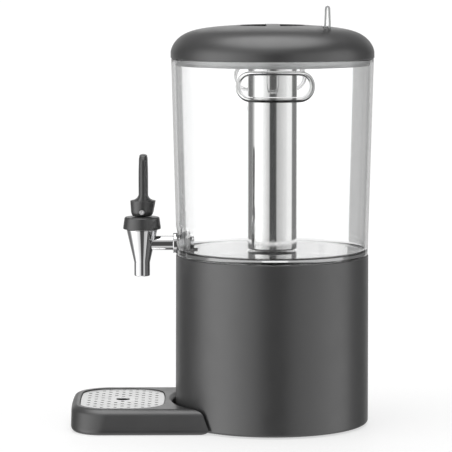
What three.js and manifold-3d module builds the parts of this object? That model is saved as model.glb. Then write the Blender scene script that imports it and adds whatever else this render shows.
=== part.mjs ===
// Cold drink dispenser: clear container on a round stand, domed lid with an ice tube, lever tap and
// drip tray. Millimetres, +Z up, the table is z = 0. The shapes are drawn around the stand's axis
// (x = y = 0) with the tap towards -y; the whole group is then moved so that its box is centred.

import * as THREE from 'three';
import { mergeVertices } from 'three/addons/utils/BufferGeometryUtils.js';
import Module from 'manifold-3d';

const wasm = await Module();
wasm.setup();

// ---------- driving dimensions ----------

const GAP = 0.3; // clearance between pieces that rest on each other
const ROUND = 48; // segments of the large round pieces
const SMALL_ROUND = 24; // segments of the tap's round pieces
const TINY_ROUND = 12; // segments of screws, feet and pins

const FOOT_LIFT = 1.5; // the stand's shell clears the table by this much

const STAND = { rBottom: 100, rTop: 99.45, top: 175.7, wall: 3, edgeRadius: 3 };
const LEDGE = { rIn: 80, bottom: 157.5, top: 160.5 }; // inner flange that stiffens the stand
const BASE = { r: 96.2, bottom: 1.9, top: 5.0 };
const FEET = { r: 8, height: 2.8, ring: 80, pocketR: 8.4, pocketTop: 3.1 };
const SCREW = { headR: 3, headTop: 3.6, r: 1.45, end: 14, ring: 87.5 };
const BOSS = { r: 5.5, top: 24, holeR: 1.8, holeTop: 18 };

const WALL = 2.6; // container wall
const CONTAINER = {
  bottom: STAND.top + GAP,
  top: 378.6,
  rAt: (z) => 99.4 + 0.02626 * (z - 198.5), // tapered outer radius
  floorTop: 180.5,
  floorBottom: 177.5,
  skirtR: 95.6,
  skirtWall: 2.6,
  skirtBottom: 164,
};
const GRIP = {
  z: 354.5,
  depthX: 86.5, // the pocket's flat end
  openWidth: 76.5,
  openHeight: 28,
  endWidth: 71.5,
  endHeight: 23.5,
};

const TAP = { y: -134.5, shankZ: 187.6, shankR: 7.7, shankEnd: -80.8 };
const PAD = { face: -95.5, inner: -92.5, halfWidth: 17, archTop: 201.5 }; // flat wall around the tap's hole
const SUMP = { halfWidth: 16, front: -96, back: -77, floor: 173.6, top: 179 }; // hollow under the tap's nut
const BODY = { top: 201.8, rTop: 16, neckR: 13.5, neckTop: 209, rBottom: 8.2, coneBottom: 167.8, tip: 153.5 };
const CHAMBER = {
  mouthR: 6.2,
  seatLow: 178,
  seatR: 9.2,
  seatHigh: 181,
  roomLow: 184,
  roomR: 11.2,
  roomHigh: 203,
};
const WATERWAY_R = 4.8; // bore of the shank
const NUT = { near: -89.6, far: -84.7, flangeR: 12.75, flangeT: 1.4, hexR: 12.2, tipR: 11.4, bore: 8 };
const BONNET = { bottom: 202.5, top: 215.4, rLow: 19.5, rHigh: 18.2, ceiling: 211.8, bore: 3.1 };
const PIN = { z: 220.5, r: 2.7, halfLength: 11.2 };
const STEM = { r: 2.5, bottom: 180.4, flangeZ: 188, flangeR: 7, headX: 4, headY: 4.6, headBottom: 216.3 };
const SEAT = {
  bottom: 176.8,
  tipR: 5.7,
  tipTop: 178.2,
  r: 8.5,
  coneTop: 181.2,
  rimTop: 184,
  neckR: 4.8,
  top: 187,
  hole: 2.9,
};
const SPRING = { r: 6, wire: 0.6, bottom: 190.6, top: 210.9, turns: 5 };
const HANDLE = {
  bottom: 215.9,
  rim: 232,
  rimR: 13.1,
  barHalf: 4.95,
  filletTop: 238.5,
  top: 279.5,
  offset: 1.5, // the bar stands this much nearer to the container than the pin
};

const LID = {
  r: 104.6,
  bottom: 378.9,
  skirtTop: 384.6,
  shoulder: 24.2,
  shoulderPower: 7.26,
  shoulderRoot: 1.61,
  crown: 4.6,
  crownPower: 2,
  wall: 2.8,
};
const CUP = { r: 36.6, floorR: 26.6, floor: 395.8, wall: 2.6 }; // seat for the ice cap in the lid's centre
const SEAL = { rIn: 95.2, rOut: 100.9, bottom: 371.9, top: 386, grooveR: 98.6 };
const TUBE = { r: 25.4, wall: 1, bottom: 181.8, flangeR: 33, flangeZ: 397.8, flangeT: 1.2 };
const CAP = {
  r: 36.1,
  bottom: 399.3,
  floor: 402.3,
  ringWall: 2.2,
  barHalf: 6.85,
  plugR: 23.9,
  plugBottom: 388,
};
const HOLDER = { y: 54.1, halfLength: 45, top: 433.3, halfFoot: 3.7, halfHead: 2.75, sheet: 2 };
const TAB = { x: 30, halfLength: 5, depth: 403.5 }; // holder's tabs in the lid's slots

const TRAY = {
  height: 25.5,
  frontTop: -205,
  frontBottom: -205.5,
  bow: 2.5, // the front bulges this much in its middle
  halfTop: 71.6,
  halfBottom: 79.8,
  backTop: 102.8, // radius of the hollow back, which follows the stand
  backBottom: 102.5,
  cornerTop: 36.8,
  cornerBottom: 30.7,
  edge: 5.8,
  floor: 4,
};
const GRID = { x: 61, front: -196.2, back: -115.8, corner: 29, t: 1.2, bottom: 23.2, land: 3 };
const GRID_BOW = { front: 2.2, back: 4.4 }; // its ends bulge this much in their middle
const HOLES = { r: 1.8, pitch: 7, columns: 11, centreHoleR: 7.7, centreY: -154.8, margin: 3.4 };

// The tray sticks out furthest where its rounded foot edge ends; this moves the box's middle to the origin.
const FRONT = TRAY.frontBottom + (TRAY.frontTop - TRAY.frontBottom) * (TRAY.edge / TRAY.height) - TRAY.bow;
const CENTRE_Y = -(FRONT + LID.r) / 2;

// ---------- materials ----------

const material = (color, roughness, metalness, opacity = 1) =>
  new THREE.MeshStandardMaterial({ color, roughness, metalness, opacity, transparent: opacity < 1 });

const blackPlastic = material(0x2b2b2c, 0.45, 0);
const clearPlastic = material(0xf2f5f6, 0.05, 0, 0.35);
const steel = material(0xd9dadb, 0.2, 1);
const chrome = material(0xe6e7e8, 0.08, 1);
const blackRubber = material(0x1b1b1b, 0.85, 0);
const silicone = material(0xdfe3e4, 0.5, 0, 0.6);

// ---------- solid helpers ----------

// Leaves only positions, joins shared vertices, drops triangles of no area and makes the faces point out.
function clean(geometry) {
  geometry.deleteAttribute('normal');
  geometry.deleteAttribute('uv');
  const merged = mergeVertices(geometry, 1e-3);
  const index = merged.getIndex().array;
  const kept = [];
  for (let i = 0; i < index.length; i += 3) {
    const [a, b, c] = [index[i], index[i + 1], index[i + 2]];
    if (a !== b && b !== c && c !== a) kept.push(a, b, c);
  }
  merged.setIndex(kept);
  if (volume(merged) < 0) {
    for (let i = 0; i < kept.length; i += 3) [kept[i + 1], kept[i + 2]] = [kept[i + 2], kept[i + 1]];
    merged.setIndex(kept);
  }
  return merged;
}

function volume(geometry) {
  const p = geometry.getAttribute('position');
  const index = geometry.getIndex().array;
  const [a, b, c] = [new THREE.Vector3(), new THREE.Vector3(), new THREE.Vector3()];
  let sum = 0;
  for (let i = 0; i < index.length; i += 3) {
    a.fromBufferAttribute(p, index[i]);
    b.fromBufferAttribute(p, index[i + 1]);
    c.fromBufferAttribute(p, index[i + 2]);
    sum += a.dot(b.cross(c)) / 6;
  }
  return sum;
}

function toManifold(geometry) {
  const solid = clean(geometry.clone());
  return new wasm.Manifold(
    new wasm.Mesh({
      numProp: 3,
      vertProperties: new Float32Array(solid.getAttribute('position').array),
      triVerts: new Uint32Array(solid.getIndex().array),
    }),
  );
}

function fromManifold(solid) {
  const mesh = solid.getMesh();
  const geometry = new THREE.BufferGeometry();
  geometry.setAttribute('position', new THREE.BufferAttribute(new Float32Array(mesh.vertProperties), 3));
  geometry.setIndex(new THREE.BufferAttribute(new Uint32Array(mesh.triVerts), 1));
  return geometry;
}

function join(...geometries) {
  return fromManifold(geometries.map(toManifold).reduce((a, b) => a.add(b)));
}

function cut(base, ...tools) {
  return fromManifold(tools.map(toManifold).reduce((a, b) => a.subtract(b), toManifold(base)));
}

function common(a, b) {
  return fromManifold(toManifold(a).intersect(toManifold(b)));
}

// Solid of revolution about z from [radius, z] points. The outline ends on the axis or closes on itself.
function lathe(outline, segments = ROUND) {
  const points = outline.map(([r, z]) => new THREE.Vector2(r, z));
  const onAxis = points[0].x === 0 && points[points.length - 1].x === 0;
  if (!onAxis) points.push(points[0].clone());
  return clean(new THREE.LatheGeometry(points, segments).rotateX(Math.PI / 2));
}

// The same, turned so that the axis runs along +y at height z; the outline holds [radius, y] points.
function latheAlongY(outline, z, segments = SMALL_ROUND) {
  return lathe(outline, segments).rotateX(-Math.PI / 2).translate(0, 0, z);
}

function box(x0, x1, y0, y1, z0, z1) {
  const geometry = new THREE.BoxGeometry(x1 - x0, y1 - y0, z1 - z0);
  return geometry.translate((x0 + x1) / 2, (y0 + y1) / 2, (z0 + z1) / 2);
}

function cylinder(r, z0, z1, segments) {
  return lathe([[0, z0], [r, z0], [r, z1], [0, z1]], segments);
}

// Closed skin over rings of [x, y, z] points with equal counts; the ends are flat across `across` axes.
function loft(rings, across = [0, 1]) {
  const count = rings[0].length;
  const positions = rings.flat(2);
  const index = [];
  for (let k = 0; k < rings.length - 1; k++) {
    for (let i = 0; i < count; i++) {
      const j = (i + 1) % count;
      const [a, b, c, d] = [k * count + i, k * count + j, (k + 1) * count + j, (k + 1) * count + i];
      index.push(a, b, c, a, c, d);
    }
  }
  const flat = (ring) => ring.map((p) => new THREE.Vector2(p[across[0]], p[across[1]]));
  const last = (rings.length - 1) * count;
  for (const [a, b, c] of outward(flat(rings[0]))) index.push(c, b, a);
  for (const [a, b, c] of outward(flat(rings[rings.length - 1]))) index.push(last + a, last + b, last + c);
  const geometry = new THREE.BufferGeometry();
  geometry.setAttribute('position', new THREE.Float32BufferAttribute(positions, 3));
  geometry.setIndex(index);
  return clean(geometry);
}

// Triangles of a flat outline, wound the way the outline runs.
function outward(points) {
  const triangles = THREE.ShapeUtils.triangulateShape(points, []);
  const sameWay = (t) => {
    const [a, b, c] = t.map((i) => points[i]);
    return (b.x - a.x) * (c.y - a.y) - (b.y - a.y) * (c.x - a.x) > 0;
  };
  const counterClockwise = THREE.ShapeUtils.area(points) > 0;
  return triangles.map((t) => (sameWay(t) === counterClockwise ? t : [t[0], t[2], t[1]]));
}

// Points of an arc about (cx, cy) from angle a0 to a1 in degrees, both ends included.
function arc(cx, cy, r, a0, a1, steps) {
  const points = [];
  for (let i = 0; i <= steps; i++) {
    const a = THREE.MathUtils.degToRad(a0 + ((a1 - a0) * i) / steps);
    points.push([cx + r * Math.cos(a), cy + r * Math.sin(a)]);
  }
  return points;
}

// ---------- stand ----------

// Radius of the stand's outer wall, which narrows a little towards the top.
function standRadius(z) {
  const share = (z - FOOT_LIFT) / (STAND.top - FOOT_LIFT);
  return STAND.rBottom + (STAND.rTop - STAND.rBottom) * share;
}

function standShell() {
  const e = STAND.edgeRadius;
  const inner = (z) => standRadius(z) - STAND.wall;
  const edge = arc(STAND.rBottom - e, FOOT_LIFT + e, e, -90, 0, 4);
  const shell = lathe([
    ...edge,
    [STAND.rTop, STAND.top - 0.6],
    [STAND.rTop - 0.6, STAND.top],
    [inner(STAND.top), STAND.top],
    [inner(LEDGE.top), LEDGE.top],
    [LEDGE.rIn, LEDGE.top],
    [LEDGE.rIn, LEDGE.bottom],
    [inner(LEDGE.bottom), LEDGE.bottom],
    [inner(FOOT_LIFT + e), FOOT_LIFT + e],
    [inner(FOOT_LIFT), FOOT_LIFT],
  ]);
  const bosses = screwPlaces().map(([x, y]) => boss(x, y));
  const holes = screwPlaces().map(([x, y]) =>
    cylinder(BOSS.holeR, BASE.top, BOSS.holeTop, TINY_ROUND).translate(x, y, 0),
  );
  return cut(join(shell, ...bosses), ...holes);
}

// A screw boss with a web that ties it to the wall.
function boss(x, y) {
  const bottom = BASE.top + GAP;
  const post = cylinder(BOSS.r, bottom, BOSS.top, TINY_ROUND).translate(x, y, 0);
  const web = box(0, STAND.rBottom - 1.5 - SCREW.ring, -2, 2, bottom, BOSS.top);
  web.rotateZ(Math.atan2(y, x)).translate(x, y, 0);
  return join(post, web);
}

// Screws stand at 45, 135, 225 and 315 degrees, feet between them.
function ringPlaces(radius, firstDegrees) {
  return arc(0, 0, radius, firstDegrees, firstDegrees + 270, 3);
}

function screwPlaces() {
  return ringPlaces(SCREW.ring, 45);
}

function footPlaces() {
  return ringPlaces(FEET.ring, 22);
}

function basePlate() {
  const plate = cylinder(BASE.r, BASE.bottom, BASE.top, ROUND);
  const pockets = footPlaces().map(([x, y]) =>
    cylinder(FEET.pocketR, 0, FEET.pocketTop, TINY_ROUND).translate(x, y, 0),
  );
  const screwHoles = screwPlaces().map(([x, y]) =>
    lathe(
      [
        [0, 0],
        [SCREW.headR + 0.5, 0],
        [SCREW.headR + 0.5, SCREW.headTop + GAP],
        [SCREW.r + 0.4, SCREW.headTop + GAP],
        [SCREW.r + 0.4, 10],
        [0, 10],
      ],
      TINY_ROUND,
    ).translate(x, y, 0),
  );
  return cut(plate, ...pockets, ...screwHoles);
}

function foot() {
  return lathe(
    [
      [0, 0],
      [FEET.r - 0.8, 0],
      [FEET.r, 0.8],
      [FEET.r, FEET.height],
      [0, FEET.height],
    ],
    TINY_ROUND,
  );
}

function baseScrew() {
  const bottom = BASE.bottom + 0.2;
  const slot = cylinder(1.3, bottom - 1, bottom + 0.8, 6);
  const screw = lathe(
    [
      [0, bottom],
      [SCREW.headR - 0.5, bottom],
      [SCREW.headR, bottom + 0.5],
      [SCREW.headR, SCREW.headTop],
      [SCREW.r, SCREW.headTop],
      [SCREW.r, SCREW.end - 1.5],
      [0, SCREW.end],
    ],
    TINY_ROUND,
  );
  return cut(screw, slot);
}

// ---------- container ----------

// Rounded-slot outline in the y-z plane at one x, with `steps` segments in each round end.
function slotRing(x, width, height, steps = 8) {
  const r = height / 2;
  const side = width / 2 - r;
  const ends = [...arc(side, GRIP.z, r, -90, 90, steps), ...arc(-side, GRIP.z, r, 90, 270, steps)];
  return ends.map(([y, z]) => [x, y, z]);
}

// Finger pocket on the +x side, grown by `skin` on all sides, from its flat end out to x = far.
function gripPocket(skin, far) {
  const g = 2 * skin;
  const nearX = GRIP.depthX - skin;
  return loft(
    [
      slotRing(nearX, GRIP.endWidth + g - 3, GRIP.endHeight + g - 3),
      slotRing(nearX + 1.5, GRIP.endWidth + g, GRIP.endHeight + g),
      slotRing(far, GRIP.openWidth + g, GRIP.openHeight + g),
    ],
    [1, 2],
  );
}

// Arch-topped outline in the x-z plane at one y: straight sides with a flat elliptic top.
function archRing(y, halfWidth, bottom, top) {
  const shoulder = top - halfWidth * 0.35;
  const crown = [];
  for (let i = 0; i <= 10; i++) {
    const a = (Math.PI * i) / 10;
    crown.push([halfWidth * Math.cos(a), y, shoulder + (top - shoulder) * Math.sin(a)]);
  }
  return [[-halfWidth, y, bottom], [halfWidth, y, bottom], ...crown];
}

// Recess that gives the tap a flat seat. Its top runs out through the tapered wall as a ramp.
function tapPocket(face, skin) {
  const bottom = CONTAINER.bottom - 1;
  const w = PAD.halfWidth + skin;
  const top = PAD.archTop + skin;
  return loft([archRing(face, w, bottom, top), archRing(face - 7, w + 6, bottom, top + 8)], [0, 2]);
}

function container() {
  const c = CONTAINER;
  const innerR = (z) => c.rAt(z) - WALL;
  const outside = lathe([
    [0, c.floorBottom],
    [c.skirtR - c.skirtWall, c.floorBottom],
    [c.skirtR - c.skirtWall, c.skirtBottom],
    [c.skirtR, c.skirtBottom],
    [c.skirtR, c.bottom],
    [c.rAt(c.bottom), c.bottom],
    [c.rAt(c.top - 0.8), c.top - 0.8],
    [c.rAt(c.top) - 0.8, c.top],
    [0, c.top],
  ]);
  const inside = lathe([
    [0, c.floorTop],
    [innerR(c.floorTop) - 3, c.floorTop],
    [innerR(c.floorTop) - 0.9, c.floorTop + 0.9],
    [innerR(c.floorTop), c.floorTop + 3],
    [innerR(c.top), c.top],
    [innerR(c.top), c.top + 5],
    [0, c.top + 5],
  ]);
  const s = SUMP;
  const grips = [gripPocket(0, 112), gripPocket(0, 112).rotateZ(Math.PI)];
  const gripWalls = [gripPocket(WALL, 110), gripPocket(WALL, 110).rotateZ(Math.PI)];
  const outerHalf = s.halfWidth + WALL;
  const sumpOuter = box(-outerHalf, outerHalf, s.front, s.back + WALL, s.floor - WALL, s.top);
  const sumpShell = common(sumpOuter, cylinder(c.skirtR, 160, 190, ROUND));
  const sumpInner = common(
    box(-s.halfWidth, s.halfWidth, PAD.inner, s.back, s.floor, 190),
    cylinder(c.skirtR - c.skirtWall, 160, 200, ROUND),
  );
  const hollow = join(cut(inside, tapPocket(PAD.inner, WALL), ...gripWalls), sumpInner);
  const holeR = TAP.shankR + 0.5;
  const tapHole = latheAlongY([[0, -110], [holeR, -110], [holeR, -85], [0, -85]], TAP.shankZ);
  return cut(join(outside, sumpShell), tapPocket(PAD.face, 0), ...grips, hollow, tapHole);
}

// ---------- tap ----------

// Ring on the shank from y0 to y1 with its outer edges broken by `chamfer`.
function shankRing(r, y0, y1, chamfer = 0) {
  const bore = TAP.shankR + GAP;
  const front = chamfer > 0 ? [[r - chamfer, y0], [r, y0 + chamfer]] : [[r, y0]];
  const back = chamfer > 0 ? [[r, y1 - chamfer], [r - chamfer, y1]] : [[r, y1]];
  return latheAlongY([[bore, y0], ...front, ...back, [bore, y1]], TAP.shankZ, 20);
}

function tapBody() {
  const b = BODY;
  const c = CHAMBER;
  const cone = lathe(
    [
      [0, b.tip],
      [b.rBottom - 1.2, b.tip],
      [b.rBottom - 0.1, b.tip + 1.3],
      [b.rBottom, b.coneBottom],
      [b.rTop, b.top - 0.8],
      [b.rTop - 0.5, b.top],
      [b.neckR, b.top],
      [b.neckR, b.neckTop],
      [0, b.neckTop],
    ],
    SMALL_ROUND,
  );
  const shank = latheAlongY(
    [
      [0, TAP.y + 6],
      [TAP.shankR, TAP.y + 6],
      [TAP.shankR, -86],
      [TAP.shankR - 0.5, -85],
      [TAP.shankR - 0.5, TAP.shankEnd - 0.8],
      [TAP.shankR - 1.3, TAP.shankEnd],
      [0, TAP.shankEnd],
    ],
    TAP.shankZ,
  );
  const chamber = lathe(
    [
      [0, b.tip - 1],
      [c.mouthR, b.tip - 1],
      [c.mouthR, c.seatLow],
      [c.seatR, c.seatHigh],
      [c.seatR, c.roomLow],
      [c.roomR, c.roomHigh],
      [c.roomR, b.neckTop + 1],
      [0, b.neckTop + 1],
    ],
    SMALL_ROUND,
  );
  const start = TAP.y + 4;
  const waterway = latheAlongY([[0, start], [WATERWAY_R, start], [WATERWAY_R, -70], [0, -70]], TAP.shankZ, 20);
  const upright = join(cone.translate(0, TAP.y, 0), shank);
  return cut(upright, chamber.translate(0, TAP.y, 0), waterway);
}

function tapNut() {
  const { near, far, flangeR, flangeT, hexR, tipR, bore } = NUT;
  const z = TAP.shankZ;
  const inside = near + flangeT;
  const hexStart = near + 0.5;
  const flange = latheAlongY([[0, near], [flangeR, near], [flangeR, inside], [0, inside]], z);
  const hex = latheAlongY([[0, hexStart], [hexR, hexStart], [hexR, far - 0.8], [tipR, far], [0, far]], z, 6);
  const hole = latheAlongY([[0, near - 5], [bore, near - 5], [bore, far + 5], [0, far + 5]], z);
  return cut(join(flange, hex), hole);
}

function tapBonnet() {
  const b = BONNET;
  const edge = 1.9;
  return lathe(
    [
      [BODY.neckR + 0.4, b.bottom],
      [b.rLow - 0.6, b.bottom],
      [b.rLow, b.bottom + 0.9],
      [b.rLow - 0.05, b.bottom + 1.8],
      ...arc(b.rHigh - edge, b.top - edge - 0.4, edge, 5, 75, 4),
      [12.5, b.top],
      [b.bore, b.top],
      [b.bore, b.ceiling],
      [BODY.neckR + 0.4, b.ceiling],
    ],
    SMALL_ROUND,
  ).translate(0, TAP.y, 0);
}

function tapStem() {
  const s = STEM;
  const rod = lathe(
    [
      [0, s.bottom],
      [s.r, s.bottom],
      [s.r, s.flangeZ],
      [s.flangeR, s.flangeZ],
      [s.flangeR, s.flangeZ + 1.6],
      [s.r, s.flangeZ + 1.6],
      [s.r, s.headBottom + 0.6],
      [0, s.headBottom + 0.6],
    ],
    TINY_ROUND,
  );
  const head = [
    [-s.headY, s.headBottom],
    [s.headY, s.headBottom],
    ...arc(0, PIN.z, s.headY, 0, 180, 8),
  ];
  const eye = loft([-s.headX, s.headX].map((x) => head.map(([y, z]) => [x, y, z])), [1, 2]);
  const pinHole = pinCylinder(PIN.r + GAP, 10).translate(0, -TAP.y, 0);
  return cut(join(rod, eye), pinHole).translate(0, TAP.y, 0);
}

// Cylinder along x through the lever's pin axis.
function pinCylinder(r, half) {
  return cylinder(r, -half, half, 16).rotateY(Math.PI / 2).translate(0, TAP.y, PIN.z);
}

function seatCup() {
  const s = SEAT;
  return lathe(
    [
      [0, s.bottom],
      [s.tipR - 0.5, s.bottom],
      [s.tipR, s.tipTop],
      [s.r, s.coneTop],
      [s.r, s.rimTop],
      [s.neckR, s.top],
      [s.hole, s.top],
      [s.hole, STEM.bottom - GAP],
      [0, STEM.bottom - GAP],
    ],
    TINY_ROUND,
  ).translate(0, TAP.y, 0);
}

class Coil extends THREE.Curve {
  getPoint(t, target = new THREE.Vector3()) {
    const a = 2 * Math.PI * SPRING.turns * t;
    const rise = SPRING.bottom + (SPRING.top - SPRING.bottom) * t;
    return target.set(SPRING.r * Math.cos(a), SPRING.r * Math.sin(a), rise);
  }
}

function tapSpring() {
  const section = new THREE.Shape(arc(0, 0, SPRING.wire, 0, 288, 4).map(([x, y]) => new THREE.Vector2(x, y)));
  const options = { steps: 10 * SPRING.turns, extrudePath: new Coil(), bevelEnabled: false };
  return clean(new THREE.ExtrudeGeometry(section, options)).translate(0, TAP.y, 0);
}

// Oval ring of the lever at height z: half sizes a (x) and b (y), squarer for a larger power.
function leverRing(z, a, b, power, count = 24) {
  const ring = [];
  const share = (z - HANDLE.bottom) / (HANDLE.filletTop - HANDLE.bottom);
  const middle = TAP.y + HANDLE.offset * Math.min(1, share);
  for (let i = 0; i < count; i++) {
    const t = (2 * Math.PI * i) / count;
    const [c, s] = [Math.cos(t), Math.sin(t)];
    const x = a * Math.sign(c) * Math.abs(c) ** (2 / power);
    const y = b * Math.sign(s) * Math.abs(s) ** (2 / power);
    ring.push([x, middle + y, z]);
  }
  return ring;
}

function tapHandle() {
  const h = HANDLE;
  const rings = [
    leverRing(h.bottom, 8.6, 8.6, 2),
    leverRing(h.bottom + 0.7, 10, 10, 2),
    leverRing(h.bottom + 3, 11.2, 11.2, 2),
    leverRing(h.bottom + 8, 12.1, 12.1, 2),
    leverRing(h.rim, h.rimR, h.rimR, 2),
  ];
  const fall = h.rimR - h.barHalf;
  for (const degrees of [65, 40, 18, 0]) {
    const a = THREE.MathUtils.degToRad(degrees);
    const share = 1 - degrees / 90;
    const z = h.filletTop - (h.filletTop - h.rim) * Math.sin(a);
    rings.push(leverRing(z, h.rimR + 0.3 * share, h.rimR - fall * Math.cos(a), 2 + 0.8 * share));
  }
  rings.push(
    leverRing(254, 14.3, h.barHalf, 2.9),
    leverRing(270, 15, h.barHalf - 0.3, 3),
    leverRing(277, 12.8, h.barHalf - 0.8, 3),
    leverRing(h.top - 0.7, 11, h.barHalf - 1.4, 2.8),
    leverRing(h.top, 8.5, h.barHalf - 2.6, 2.5),
  );
  const slot = box(-4.4, 4.4, TAP.y - 6.6, TAP.y + 5.1, h.bottom - 1, PIN.z + 5.1);
  return cut(loft(rings), slot, pinCylinder(PIN.r + GAP, 20));
}

// ---------- lid, ice tube, cap and label holder ----------

// Height of the lid's outer surface at radius r, lowered all over by `inset`.
function domeHeight(r, inset = 0) {
  const rim = LID.r - inset;
  const t = Math.min(r / rim, 1);
  const shoulder = (LID.shoulder - inset) * (1 - t ** LID.shoulderPower) ** (1 / LID.shoulderRoot);
  return LID.skirtTop + shoulder + LID.crown * (1 - t * t) ** LID.crownPower;
}

// Dome outline from radius r0 to r1, closer together where the shoulder turns.
function domeLine(r0, r1, steps, inset = 0) {
  const points = [];
  for (let i = 0; i <= steps; i++) {
    const share = 1 - (1 - i / steps) ** 2;
    const r = r0 + (r1 - r0) * share;
    points.push([r, domeHeight(r, inset)]);
  }
  return points;
}

function lid() {
  const { r: cupR, floorR, floor, wall } = CUP;
  const innerR = LID.r - 3.3;
  const outside = domeLine(cupR, LID.r, 10).reverse();
  const underside = domeLine(cupR + wall, SEAL.rIn + 0.5, 3, LID.wall);
  const shell = lathe([
    [LID.r, LID.bottom],
    ...outside,
    [cupR, floor],
    [floorR, floor],
    [floorR, floor - wall],
    [cupR + wall, floor - wall],
    ...underside,
    [SEAL.rIn + 0.5, 380],
    [SEAL.grooveR - GAP, 380],
    [SEAL.grooveR - GAP, SEAL.top + 0.8],
    [innerR, SEAL.top + 0.8],
    [innerR, LID.bottom],
  ]);
  const slots = [];
  for (const x of [-TAB.x, TAB.x]) {
    for (const side of [-1, 1]) {
      const y = HOLDER.y + side * (HOLDER.halfFoot - HOLDER.sheet / 2);
      const half = HOLDER.sheet / 2 + 0.3;
      const reach = TAB.halfLength + 0.4;
      slots.push(box(x - reach, x + reach, y - half, y + half, TAB.depth - 5, 420));
    }
  }
  return cut(shell, ...slots);
}

function lidSeal() {
  return lathe([
    [SEAL.rIn, SEAL.bottom + 1],
    [SEAL.rIn + 1, SEAL.bottom],
    [SEAL.rOut - 0.4, SEAL.bottom],
    [SEAL.rOut, SEAL.bottom + 3],
    [SEAL.rOut, SEAL.top],
    [SEAL.grooveR, SEAL.top],
    [SEAL.grooveR, 379.2],
    [SEAL.rIn, 379.2],
  ]);
}

function iceTube() {
  const t = TUBE;
  return lathe(
    [
      [0, t.bottom],
      [t.r - 1.6, t.bottom],
      [t.r - 0.5, t.bottom + 0.5],
      [t.r, t.bottom + 1.6],
      [t.r, t.flangeZ],
      [t.flangeR, t.flangeZ],
      [t.flangeR, t.flangeZ + t.flangeT],
      [t.r - t.wall, t.flangeZ + t.flangeT],
      [t.r - t.wall, t.bottom + t.wall],
      [0, t.bottom + t.wall],
    ],
    36,
  );
}

function tubeSeal() {
  const bottom = CUP.floor + GAP;
  const top = TUBE.flangeZ - GAP;
  const bore = CUP.floorR + 0.4;
  return lathe([[bore, bottom], [TUBE.flangeR, bottom], [TUBE.flangeR, top], [bore, top]], 36);
}

function iceCap() {
  const c = CAP;
  const disc = lathe([
    [0, c.bottom],
    [c.plugR - 2.2, c.bottom],
    [c.plugR - 2.2, c.plugBottom],
    [c.plugR, c.plugBottom],
    [c.plugR, c.bottom],
    [c.r, c.bottom],
    [c.r, domeHeight(c.r) - 0.7],
    [c.r - 0.7, domeHeight(c.r)],
    [c.r / 2, domeHeight(c.r / 2) + 0.25],
    [0, domeHeight(0) + 0.3],
  ], 36);
  const ring = cylinder(c.r - c.ringWall, c.floor, 430, 36);
  const bar = box(-50, 50, -c.barHalf, c.barHalf, c.floor - 2, 440);
  return cut(disc, cut(ring, bar));
}

function labelHolder() {
  const h = HOLDER;
  const head = h.top - h.halfHead;
  const inner = h.halfHead - h.sheet;
  const low = TAB.depth;
  const profile = [
    [-h.halfFoot, low],
    [-h.halfFoot + h.sheet, low],
    ...arc(0, head, inner, 180, 0, 6),
    [h.halfFoot - h.sheet, low],
    [h.halfFoot, low],
    ...arc(0, head, h.halfHead, 0, 180, 10),
  ];
  const sheet = loft(
    [-h.halfLength, h.halfLength].map((x) => profile.map(([y, z]) => [x, h.y + y, z])),
    [1, 2],
  );
  const dome = lathe([...domeLine(0, LID.r, 12).map(([r, z]) => [r, z + GAP]), [0, LID.bottom]]);
  const tabs = [-TAB.x, TAB.x].map((x) => box(x - TAB.halfLength, x + TAB.halfLength, 40, 70, low - 1, 420));
  return cut(sheet, cut(dome, ...tabs));
}

// ---------- drip tray and grid ----------

// Moves outline points sideways by `bow` in the middle, less towards x = half and x = -half.
function bowed(points, half, bow) {
  return points.map(([x, y]) => [x, y + bow * (1 - (x / half) ** 2)]);
}

// Outline of a tray layer at height z: round front corners and a hollow back that follows the stand.
function trayRing(z, front, half, corner, backR) {
  const sideEnd = -Math.sqrt(backR * backR - half * half);
  const spread = THREE.MathUtils.radToDeg(Math.atan2(sideEnd, half));
  const nose = [
    ...arc(-half + corner, front + corner, corner, 180, 270, 8),
    [(corner - half) / 2, front],
    [0, front],
    [(half - corner) / 2, front],
    ...arc(half - corner, front + corner, corner, -90, 0, 8),
  ];
  const points = [
    ...arc(0, 0, backR, spread, -180 - spread, 18),
    [-half, (sideEnd + front + corner) / 2],
    ...bowed(nose, half, -TRAY.bow),
    [half, (sideEnd + front + corner) / 2],
  ];
  return points.map(([x, y]) => [x, y, z]);
}

// Layer of the tray's outside at height z, pulled in by `inset` for the rounded edges.
function trayLayer(z, inset) {
  const t = TRAY;
  const up = z / t.height;
  const mix = (low, high) => low + (high - low) * up;
  return trayRing(
    z,
    mix(t.frontBottom, t.frontTop) + inset,
    mix(t.halfBottom, t.halfTop) - inset,
    mix(t.cornerBottom, t.cornerTop) - inset,
    mix(t.backBottom, t.backTop) + inset,
  );
}

// Outline of the grid at height z, grown by `skin`: a rounded rectangle with bowed ends.
function gridRing(z, skin) {
  const r = GRID.corner + skin;
  const [x, front, back] = [GRID.x + skin, GRID.front - skin, GRID.back + skin];
  const side = x - r;
  const frontEnd = [...arc(-side, front + r, r, 180, 270, 7), [0, front], ...arc(side, front + r, r, -90, 0, 7)];
  const backEnd = [...arc(side, back - r, r, 0, 90, 7), [0, back], ...arc(-side, back - r, r, 90, 180, 7)];
  const outline = [...bowed(frontEnd, x, -GRID_BOW.front), ...bowed(backEnd, x, GRID_BOW.back)];
  return outline.map(([px, py]) => [px, py, z]);
}

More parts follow.
